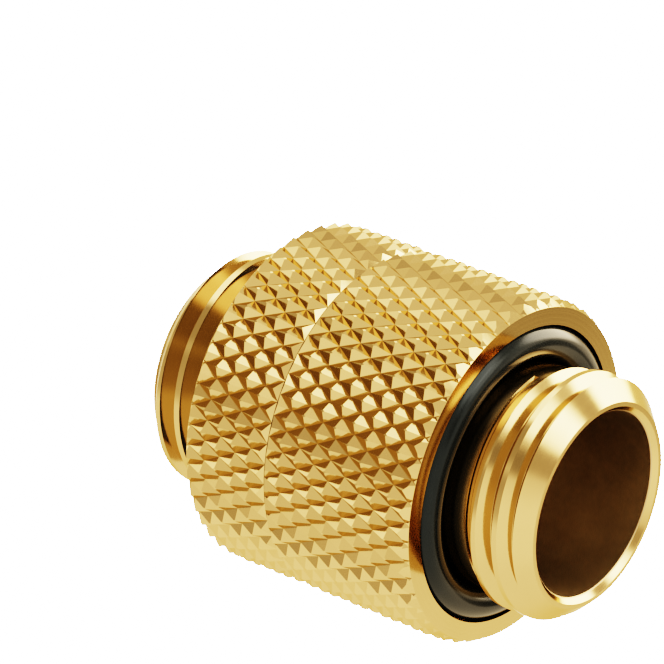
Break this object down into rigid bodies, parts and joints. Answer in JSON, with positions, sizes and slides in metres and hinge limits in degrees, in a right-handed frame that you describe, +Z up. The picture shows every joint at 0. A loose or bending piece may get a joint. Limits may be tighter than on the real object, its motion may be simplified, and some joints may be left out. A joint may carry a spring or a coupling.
{
  "type": "rotary threaded fitting",
  "caption": "Short rotary liquid-cooling fitting with a male thread at each end: two gold diamond-knurled halves that swivel on each other, with a rubber seal in each face.",
  "frame": {"origin": "middle of the long half's flat shoulder face, the face that seats on the port; the swivel axis passes through it", "axes": "+X along the swivel axis, out of the long half's thread; +Z up; +Y completes the right-handed frame"},
  "size_m": [0.025, 0.0188, 0.0188],
  "materials": {
    "gold_brass": "gold-plated brass, fine turned satin",
    "black_rubber": "smooth, slightly glossy black rubber",
    "spring_steel": "plain spring wire",
    "white_plastic": "low-friction plastic"
  },
  "bodies": {
    "front_half": {"front_body": "gold_brass", "front_face_seal": "black_rubber", "retaining_ring": "spring_steel", "slip_washer": "white_plastic"},
    "rear_half": {"rear_body": "gold_brass", "rear_face_seal": "black_rubber", "inner_spigot_seal": "black_rubber", "outer_spigot_seal": "black_rubber"}
  },
  "joints": [
    {"name": "swivel", "type": "hinge", "parent": "front_half", "child": "rear_half", "pos_m": [-0.0094, 0, 0], "axis": [1, 0, 0], "continuous": true}
  ]
}
